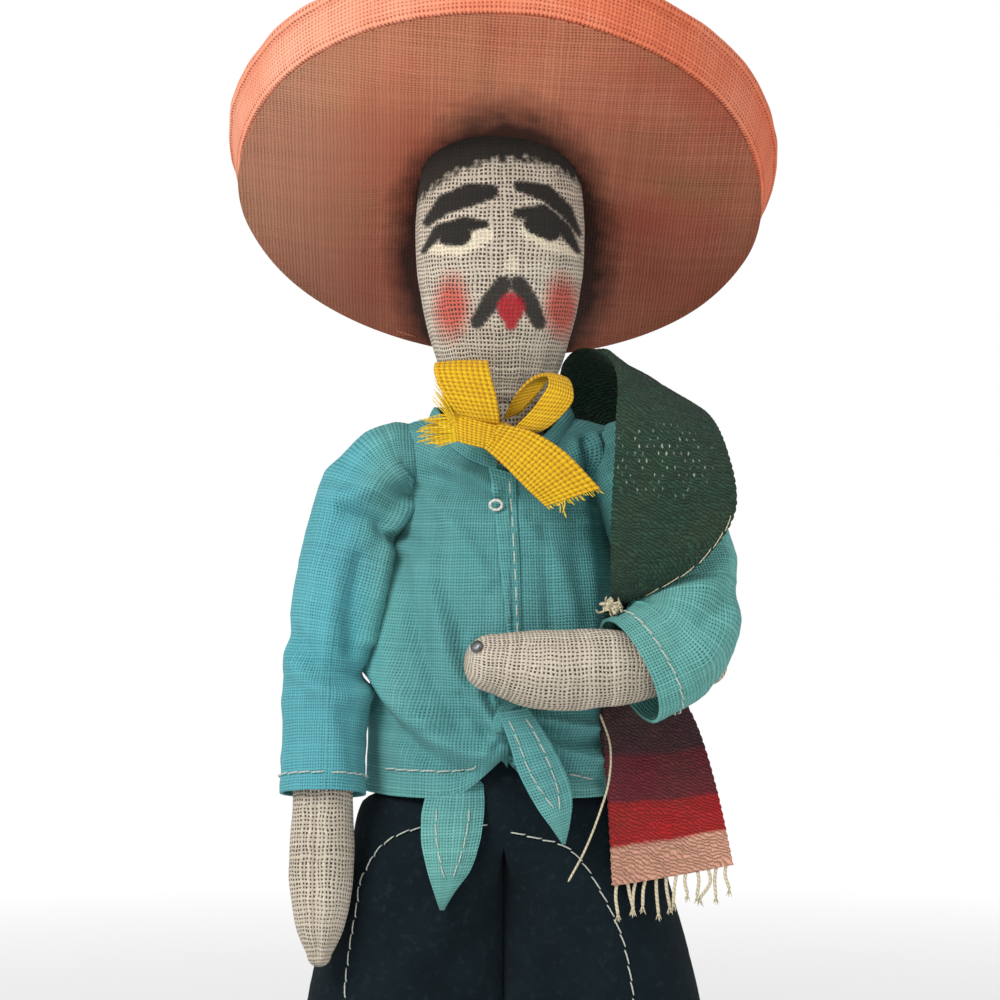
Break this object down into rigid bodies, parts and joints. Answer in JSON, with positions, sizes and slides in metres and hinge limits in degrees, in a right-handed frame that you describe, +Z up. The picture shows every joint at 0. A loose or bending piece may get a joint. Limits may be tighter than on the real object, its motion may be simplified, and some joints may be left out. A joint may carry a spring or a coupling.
{
  "type": "cloth folk doll",
  "caption": "Stuffed cloth folk doll with jointed head, arms and legs, knotted shirt, flared trousers, tilted wide-brimmed hat, ribbon bow and a striped sarape over one shoulder.",
  "frame": {"origin": "on the floor under the doll, at the middle of its bounding box", "axes": "+Z up along the standing doll, which faces -Y; its own right hand is on the -X side"},
  "size_m": [0.0878, 0.0768, 0.2395],
  "materials": {
    "gauze": "open cream gauze over stuffing, face and hair painted on",
    "hat_cloth": "matt orange plain-weave cotton",
    "lining_cloth": "matt tan muslin with maroon stains",
    "shirt_cotton": "matt turquoise plain-weave cotton with white stitching",
    "felt": "matt black wool felt",
    "satin": "soft sheen yellow ribbon, frayed at its cut ends",
    "wool": "coarse weft-striped wool, green with brown, maroon, red and peach bands",
    "thread": "loose cream cotton thread",
    "leather": "plain dark leather",
    "wood": "bare turned stick",
    "steel": "dark steel with a dimpled head"
  },
  "bodies": {
    "torso": {"torso": "gauze", "shirt_back": "shirt_cotton", "shirt_front_right": "shirt_cotton", "shirt_front_left": "shirt_cotton", "shirt_collar": "shirt_cotton", "shirt_placket": "shirt_cotton", "button_loop": "thread", "shirt_knot": "shirt_cotton", "shirt_tail_right": "shirt_cotton", "shirt_tail_left": "shirt_cotton", "ribbon_neckband": "satin", "ribbon_knot": "satin", "ribbon_loop_right": "satin", "ribbon_loop_left": "satin", "ribbon_tail_left": "satin", "ribbon_tail_right": "satin", "sarape": "wool", "sarape_fringe_front": "thread", "sarape_fringe_back": "thread", "sarape_tuft": "thread"},
    "neck": {"neck": "gauze", "neck_stick": "wood"},
    "head": {"head": "gauze", "sombrero_brim": "hat_cloth", "brim_lining": "lining_cloth", "sombrero_rim": "hat_cloth", "sombrero_crown": "hat_cloth"},
    "right_upper_arm": {"right_upper_arm": "gauze", "right_sleeve": "shirt_cotton"},
    "right_forearm": {"right_forearm": "gauze"},
    "left_upper_arm": {"left_upper_arm": "gauze", "left_sleeve": "shirt_cotton"},
    "left_forearm": {"left_forearm": "gauze"},
    "pin": {"pin": "steel"},
    "right_leg": {"right_leg": "gauze", "right_shoe": "leather", "right_sole": "leather", "trousers_right": "felt"},
    "left_leg": {"left_leg": "gauze", "left_shoe": "leather", "left_sole": "leather", "trousers_left": "felt"}
  },
  "joints": [
    {"name": "neck_nod", "type": "hinge", "parent": "torso", "child": "neck", "pos_m": [-0.00048, -0.00346, 0.168], "axis": [1, 0, 0], "range_deg": [-8, 10]},
    {"name": "head_turn", "type": "hinge", "parent": "neck", "child": "head", "pos_m": [-0.00048, -0.00346, 0.177], "axis": [0, 0, 1], "range_deg": [-35, 35]},
    {"name": "right_shoulder", "type": "hinge", "parent": "torso", "child": "right_upper_arm", "pos_m": [-0.01918, -0.00346, 0.1645], "axis": [-1, 0, 0], "range_deg": [0, 80]},
    {"name": "right_elbow", "type": "hinge", "parent": "right_upper_arm", "child": "right_forearm", "pos_m": [-0.02816, -0.00822, 0.12788], "axis": [-1, 0, 0], "range_deg": [0, 75], "deforming": ["right_sleeve"]},
    {"name": "left_shoulder", "type": "hinge", "parent": "torso", "child": "left_upper_arm", "pos_m": [0.01942, -0.00346, 0.1645], "axis": [-0.3182, 0.4462, 0.8364], "range_deg": [0, 35]},
    {"name": "left_elbow", "type": "hinge", "parent": "left_upper_arm", "child": "left_forearm", "pos_m": [0.03141, -0.02029, 0.13297], "axis": [0.0961, -0.8626, 0.4967], "range_deg": [0, 60], "deforming": ["left_sleeve"]},
    {"name": "right_hip", "type": "hinge", "parent": "torso", "child": "right_leg", "pos_m": [-0.00908, -0.00346, 0.104], "axis": [1, 0, 0], "range_deg": [-8, 8], "deforming": ["trousers_right"]},
    {"name": "left_hip", "type": "hinge", "parent": "torso", "child": "left_leg", "pos_m": [0.00932, -0.00346, 0.104], "axis": [1, 0, 0], "range_deg": [-8, 8], "deforming": ["trousers_left"]},
    {"name": "pin_slide", "type": "slide", "parent": "left_forearm", "child": "pin", "axis": [-0.5187, -0.6384, 0.5686], "range_m": [0, 0.008]}
  ]
}
